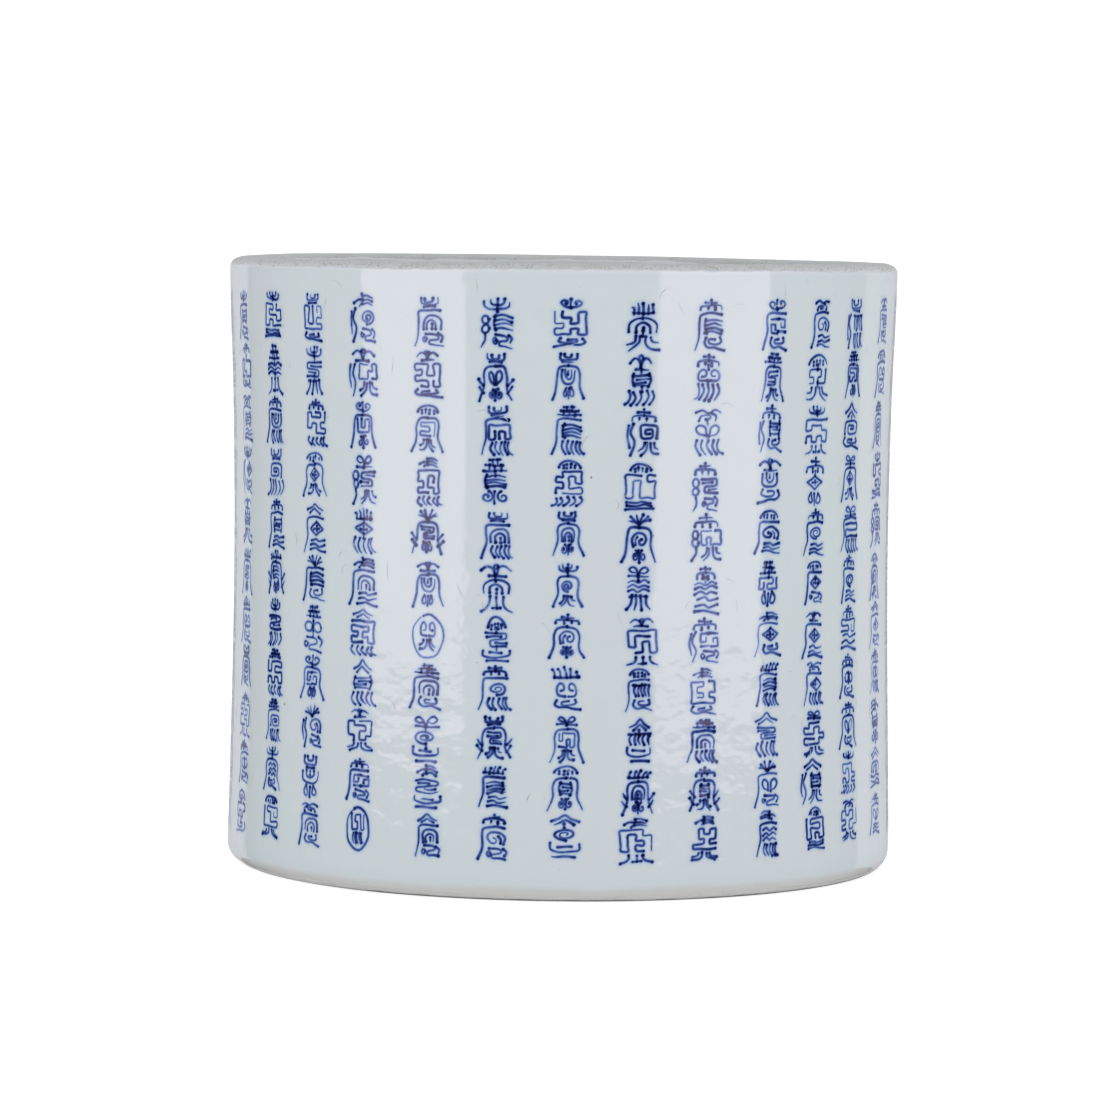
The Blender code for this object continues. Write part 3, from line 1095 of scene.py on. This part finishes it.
def paired_sign(draw):
    """A narrow chain or wave on one side, a heart and a tail on the other, under one crest."""
    if draw.random() < 0.5:
        side = [arc(-0.68, y, 0.2, 0.085) for y in (0.42, 0.6)]
        side.append(curve((-0.68, 0.7), (-0.66, 0.84), (-0.92, 1.0)))
    else:
        side = [curve((-0.62, 0.32), (-0.8, 0.52), (-0.58, 0.74), (-0.78, 1.0))]
        side.append(curve((-0.92, 0.36), (-1.0, 0.6), (-0.9, 0.84)))
    wide = any_part(draw, HEARTS, -0.3, 0.92, 0.33, 0.64)
    tail = draw.choice((foot_tail, foot_vine, foot_bow, foot_ripple, foot_comb))(draw)
    wide += within(tail, -0.3, 0.95, 0.73, 1.0)
    return side + wide + any_part(draw, CRESTS, -0.8, 0.8, 0.0, 0.25)


def folded_sign(draw):
    """A crest and a tail with one long folded path between them."""
    middle = draw.uniform(0.72, 0.95)
    strokes = within([meander(draw, 5, 5)], -middle, middle, 0.27, 0.74)
    tails = (foot_tail, foot_comb, foot_splay, foot_bow, foot_ripple)
    strokes += any_part(draw, tails, -0.95, 0.95, 0.83, 1.0)
    return strokes + any_part(draw, CRESTS, -0.72, 0.72, 0.0, 0.18)


LAYOUTS = 8 * (stacked_sign, wrapped_sign) + 6 * (sheltered_sign, folded_sign)
LAYOUTS += 4 * (paired_sign,) + (ringed_sign,)


def by_hand(stroke, draw, size, tilt):
    """A stroke in mm, evenly stepped, with the small errors of a quick brush."""
    p = stroke * (size[0] / 2 - STROKE_HALF_WIDTH, 2 * STROKE_HALF_WIDTH - size[1])
    steps = np.hypot(*np.diff(p, axis=0).T)
    along = np.concatenate([[0], np.cumsum(steps)])
    if along[-1] < 0.3:
        return None
    even = np.linspace(0, along[-1], max(3, int(along[-1] / 0.35)))
    p = np.stack([np.interp(even, along, p[:, 0]), np.interp(even, along, p[:, 1])], axis=-1)
    for axis in (0, 1):
        wave = draw.uniform(5, 9)
        p[:, axis] += draw.gauss(0, 0.08) + 0.11 * np.sin(TAU * even / wave + draw.uniform(0, TAU))
    turn = math.cos(tilt), math.sin(tilt)
    return np.stack([p[:, 0] * turn[0] - p[:, 1] * turn[1], p[:, 0] * turn[1] + p[:, 1] * turn[0]], axis=-1)


class Paper:
    """A grid of ink density, unrolled from the wall, on which one column of signs is painted.

    x runs to the right from the column's middle and y upward from the top of the first sign.
    """

    def __init__(self, width, height, margin):
        self.x = np.arange(-width / 2 - margin, width / 2 + margin, GRID)
        self.y = np.arange(margin, -height - margin, -GRID)
        self.ink = np.zeros((len(self.y), len(self.x)))
        self.crossed = np.zeros_like(self.ink)

    def around(self, stroke, reach):
        """The slices of the grid within reach of a stroke, and the points in them."""
        low, high = stroke.min(axis=0) - reach, stroke.max(axis=0) + reach
        columns = np.flatnonzero((self.x > low[0]) & (self.x < high[0]))
        rows = np.flatnonzero((self.y > low[1]) & (self.y < high[1]))
        part = np.s_[rows[0] : rows[-1] + 1, columns[0] : columns[-1] + 1]
        x, y = np.meshgrid(self.x[part[1]], self.y[part[0]])
        return part, np.stack([x.ravel(), y.ravel()], axis=-1)

    def lay(self, part, ink):
        """Adds a stroke's ink, which shows stronger where it crosses another stroke."""
        ink = ink.reshape(self.ink[part].shape)
        self.crossed[part] += np.minimum(self.ink[part], ink)
        self.ink[part] = np.maximum(self.ink[part], ink)

    def density(self):
        return np.clip(self.ink + 0.45 * self.crossed, 0, 2.2)


def distances(points, stroke):
    """Distance from each point to the stroke, and how far along the stroke that is, 0 to 1."""
    a = stroke[:-1]
    d = stroke[1:] - a
    to = points[:, None, :] - a[None]
    along = np.clip((to * d).sum(-1) / np.maximum((d * d).sum(-1), 1e-9), 0, 1)
    gap = np.linalg.norm(to - along[..., None] * d, axis=-1)
    nearest = gap.argmin(axis=1)
    rows = np.arange(len(points))
    return gap[rows, nearest], (nearest + along[rows, nearest]) / len(a)


def paint_stroke(paper, draw, stroke, tone):
    """One stroke of the brush: round heads, a thinner middle, and sometimes a drawn-out tail."""
    width = STROKE_HALF_WIDTH * draw.uniform(0.82, 1.22)
    tailed = draw.random() < TAIL_CHANCE
    part, near = paper.around(stroke, width + BLEED_LIMIT)
    gap, share = distances(near, stroke)
    half = width * (1 - 0.14 * np.sin(math.pi * share))
    if tailed:
        half = half * (1 - 0.70 * ease(0.55, 1, share))
    core = 1 - ease(half - 0.12, half + STROKE_SOFT_EDGE, gap)
    bleed = BLEED * np.exp(-np.maximum(gap - half, 0) / BLEED_REACH)
    thinned = 1 - draw.uniform(0.10, 0.40) * np.sin(math.pi * share)
    swell = 1 + 0.09 * np.sin(TAU * share * draw.uniform(0.7, 1.8) + draw.uniform(0, TAU))
    ink = np.maximum(core * thinned * swell, bleed)
    for end in stroke[:1] if tailed else stroke[[0, -1]]:
        head = width * draw.uniform(1.0, 1.42)
        dot = 1 - ease(head - 0.14, head + STROKE_SOFT_EDGE, np.linalg.norm(near - end, axis=1))
        ink = np.maximum(ink, dot * draw.uniform(1.0, 1.4))
    paper.lay(part, ink * tone)


def paint_sign(paper, draw, strength, size, corner):
    """One sign of the given width and height, the middle of its top edge at the corner point."""
    tilt = draw.gauss(0, 0.015)
    for raw in draw.choice(LAYOUTS)(draw):
        stroke = by_hand(raw, draw, size, tilt)
        if stroke is not None:
            paint_stroke(paper, draw, stroke + corner, strength * draw.uniform(0.80, 1.15))


def crossing(a, b):
    """How far along each grid edge the limit lies, where the values a and b at its ends differ in sign."""
    return np.where((a > 0) != (b > 0), a / np.where(a == b, 1, a - b), 0)


def cut_film(ink):
    """Points (column, row, ink) and faces of the grid's part where ink is above INK_CUT.

    Cells that the limit crosses are cut along it, so that the film has smooth edges.
    """
    rows, columns = ink.shape
    row, column = np.mgrid[0:rows, 0:columns]
    corner_ids = np.arange(rows * columns).reshape(rows, columns)
    flat_ids = corner_ids + rows * columns
    upright_ids = corner_ids + 2 * rows * columns
    value = ink - INK_CUT

    points = np.zeros((3 * rows * columns, 3))
    points[corner_ids.ravel()] = np.stack([column.ravel(), row.ravel(), np.maximum(value, 0).ravel()], -1)
    cross = crossing(value[:, :-1], value[:, 1:])
    points[flat_ids[:, :-1].ravel()] = np.stack(
        [(column[:, :-1] + cross).ravel(), row[:, :-1].ravel(), np.zeros(cross.size)], -1
    )
    cross = crossing(value[:-1], value[1:])
    points[upright_ids[:-1].ravel()] = np.stack(
        [column[:-1].ravel(), (row[:-1] + cross).ravel(), np.zeros(cross.size)], -1
    )

    # corners of each cell, and the edges after them, in the same turning direction
    corners = [corner_ids[1:, :-1], corner_ids[1:, 1:], corner_ids[:-1, 1:], corner_ids[:-1, :-1]]
    edges = [flat_ids[1:, :-1], upright_ids[:-1, 1:], flat_ids[:-1, :-1], upright_ids[:-1, :-1]]
    within_ink = [value.ravel()[c] > 0 for c in corners]
    case = sum(inside_here.astype(int) << k for k, inside_here in enumerate(within_ink))
    faces = []
    for pattern in range(1, 16):
        cells = case == pattern
        if not cells.any():
            continue
        ring = []
        for k in range(4):
            here = pattern >> k & 1
            following = pattern >> (k + 1) % 4 & 1
            if here:
                ring.append(corners[k][cells])
            if here != following:
                ring.append(edges[k][cells])
        faces.extend(np.stack(ring, axis=-1).tolist())
    used = np.zeros(len(points), bool)
    for face in faces:
        used[face] = True
    renumber = np.cumsum(used) - 1
    return points[used], [[int(renumber[v]) for v in face] for face in faces]


def painted_column(number, azimuth, material):
    """One column of signs as a film on the glaze."""
    draw = random.Random(COLUMN_SEED + number)
    tone = STROKE_TONE * draw.uniform(0.86, 1.14)
    lean = draw.gauss(0, 0.35)
    y = draw.gauss(0, 0.3)
    pitch = FIRST_PITCH
    paper = Paper(SIGN_WIDTH, COLUMN_HEIGHT, PAPER_MARGIN)
    for k in range(SIGNS_PER_COLUMN):
        size = SIGN_WIDTH * draw.uniform(0.80, 1.0), pitch * draw.uniform(0.87, 0.97)
        x = draw.gauss(0, 0.25) + lean * (k / SIGNS_PER_COLUMN - 0.5)
        paint_sign(paper, draw, tone * draw.uniform(0.9, 1.1), size, (x, y))
        y -= pitch + draw.gauss(0, 0.12)
        pitch -= PITCH_LOSS
    points, faces = cut_film(paper.density())
    x = paper.x[0] + points[:, 0] * GRID
    z = TOP_OF_SIGNS + paper.y[0] - points[:, 1] * GRID
    angle = math.radians(azimuth - 90) + x / wall_outside(z)
    surface = place(outside(z) + FILM_LIFT, z, angle)
    name = f"painted_column_{number + 1:02d}"
    made = finish_mesh(name, surface, faces, material, ["cobalt_painting"])
    attribute = made.data.attributes.new("ink", "FLOAT", "POINT")
    attribute.data.foreach_set("value", points[:, 2].astype(np.float32))


def scratched_glaze(material):
    """Fine old scratches and fibres of dirt in the outside glaze, as hair-thin films."""
    draw = random.Random(77)
    points, faces = [], []
    for _ in range(SCRATCH_COUNT):
        azimuth = draw.uniform(0, TAU)
        height = draw.triangular(12, 163, 160)
        heading = draw.gauss(math.pi / 2, 0.7)
        bend = draw.gauss(0, 0.22)
        steps = draw.randint(4, 14)
        width = draw.uniform(0.040, 0.085)
        u, v = azimuth * RIM_RADIUS, height
        for k in range(steps + 1):
            wide = width * math.sin(math.pi * (k + 0.4) / (steps + 0.8))
            side = -math.sin(heading) * wide, math.cos(heading) * wide
            for sign in (-1, 1):
                z = np.array([min(v + sign * side[1], SCRATCH_TOP)])
                angle = np.array([(u + sign * side[0]) / RIM_RADIUS])
                points.append(place(outside(z) + FILM_LIFT + 0.01, z, angle)[0])
            if k:
                n = len(points)
                faces.append((n - 4, n - 3, n - 1, n - 2))
            u += SCRATCH_STEP * math.cos(heading)
            v += SCRATCH_STEP * math.sin(heading)
            heading += bend
    finish_mesh("glaze_scratches", points, faces, material, ["outer_glaze"])


def make_scratch():
    """Brown dirt in the glaze, fainter here and there."""
    s = Shader("dirt_in_scratches")
    faint = s.patches(0.002, 0.35, 0.65)
    s.set("Base Color", s.mix(faint, glaze_colour(s), (0.300, 0.265, 0.210)))
    s.set("Roughness", s.between(faint, 0.0, 1.0, 0.15, 0.40))
    return s.material


def column_azimuths():
    """Degrees from the front (-Y) towards +X of every column."""
    azimuths = [FIRST_COLUMN]
    for step in FRONT_STEPS:
        azimuths.append(azimuths[-1] + step)
    left = COLUMN_COUNT - len(azimuths)
    step = (360 - (azimuths[-1] - azimuths[0])) / (left + 1)
    for _ in range(left):
        azimuths.append(azimuths[-1] + step)
    return azimuths


# ==== Stage, light and camera ====


def staged(name, points, faces, material):
    """A sheet that isn't part of the object, and that the glaze doesn't mirror."""
    mesh = bpy.data.meshes.new(name)
    mesh.from_pydata(points, [], faces)
    mesh.materials.append(material)
    made = bpy.data.objects.new(name, mesh)
    made.visible_glossy = False
    bpy.context.scene.collection.objects.link(made)


def make_floor():
    half = 6.0
    corners = [(-half, -half, 0.0), (half, -half, 0.0), (half, half, 0.0), (-half, half, 0.0)]
    staged("floor", corners, [(0, 1, 2, 3)], make_floor_material())


def make_backdrop():
    """A white sweep standing far behind the pot."""
    radius, around, low, high = 9.0, 24, -1.5, 9.0
    angles = np.radians(np.linspace(44, 136, around))
    points = [(radius * math.cos(a), radius * math.sin(a), z) for z in (low, high) for a in angles]
    faces = [(i, i + 1, around + i + 1, around + i) for i in range(around - 1)]
    s = Shader("white_backdrop")
    s.set("Base Color", (0.9, 0.9, 0.9))
    s.set("Emission Color", (1.0, 0.99, 1.0))
    s.set("Emission Strength", 0.45)
    staged("backdrop", points, faces, s.material)


def softbox(name, azimuth, distance, width, height, bottom, radiance, colour):
    """An upright rectangular light, azimuth degrees from the front, facing the pot's axis."""
    lamp = bpy.data.lights.new(name, "AREA")
    lamp.shape = "RECTANGLE"
    lamp.size = width
    lamp.size_y = height
    lamp.energy = radiance * math.pi * width * height
    lamp.color = colour
    made = bpy.data.objects.new(name, lamp)
    a = math.radians(azimuth)
    made.location = (distance * math.sin(a), -distance * math.cos(a), bottom + height / 2)
    made.rotation_euler = Euler((math.pi / 2, 0, a))
    made.visible_camera = False
    bpy.context.scene.collection.objects.link(made)
    return made


def make_lights():
    """An even pale world, two softboxes that the glaze mirrors, a fill and two panels behind."""
    world = bpy.data.worlds.new("studio")
    bpy.context.scene.world = world
    world.use_nodes = True
    background = world.node_tree.nodes["Background"]
    background.inputs["Color"].default_value = (0.985, 0.99, 1.0, 1.0)
    background.inputs["Strength"].default_value = 0.833
    world.cycles_visibility.glossy = False
    warm, mild, cool = (1.0, 0.86, 0.97), (1.0, 0.93, 0.97), (0.94, 0.93, 1.0)
    # each with its azimuth, distance, width, height, height of its lower edge, radiance and colour
    softbox("softbox_left", -51.2, 1.10, 0.745, 0.43, -0.02, 2.45, warm)
    softbox("softbox_right", 51.0, 1.10, 0.82, 0.45, -0.03, 2.18, warm)
    softbox("fill_right", 124, 2.0, 2.6, 1.6, -0.4, 0.40, mild).visible_glossy = False
    softbox("panel_behind_left", -158.8, 3.0, 2.33, 3.0, -0.9, 0.63, cool)
    softbox("panel_behind_right", 152.5, 3.0, 3.12, 3.0, -0.9, 0.56, cool)


def make_camera():
    """The camera stands level with the rim, turned down a little and rolled by a hair."""
    lens = bpy.data.cameras.new("camera")
    lens.sensor_width = 36.0
    lens.lens = 170.8
    lens.clip_start = 0.05
    lens.clip_end = 60.0
    made = bpy.data.objects.new("camera", lens)
    reach = RIM_RADIUS * MM
    made.location = (CAMERA_ASIDE, -CAMERA_DISTANCE * reach, CAMERA_HEIGHT * reach)
    pitched = Euler((math.pi / 2 - CAMERA_PITCH, 0.0, 0.0)).to_matrix()
    made.rotation_euler = (pitched @ Euler((0.0, 0.0, CAMERA_ROLL)).to_matrix()).to_euler()
    bpy.context.scene.collection.objects.link(made)
    bpy.context.scene.camera = made


def hidden_clay(material):
    """The CAD's own solids inside the walls keep their shape and take the clay."""
    for node in ("base_slab", "luting_coil"):
        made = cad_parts[node]
        made.data.materials.clear()
        made.data.materials.append(material)


def main():
    glaze = make_glaze()
    lip = make_bare_lip()
    bare_foot = make_foot_clay()
    cobalt = make_cobalt()
    outer_glaze_surface(glaze)
    inner_glaze_surface(glaze)
    base_glaze_surface(glaze)
    clay_wall(lip)
    foot(bare_foot)
    hidden_clay(bare_foot)
    scratched_glaze(make_scratch())
    for number, azimuth in enumerate(column_azimuths()):
        painted_column(number, azimuth, cobalt)
    make_floor()
    make_backdrop()
    make_lights()
    make_camera()
    bpy.context.scene.view_settings.view_transform = "Standard"


main()
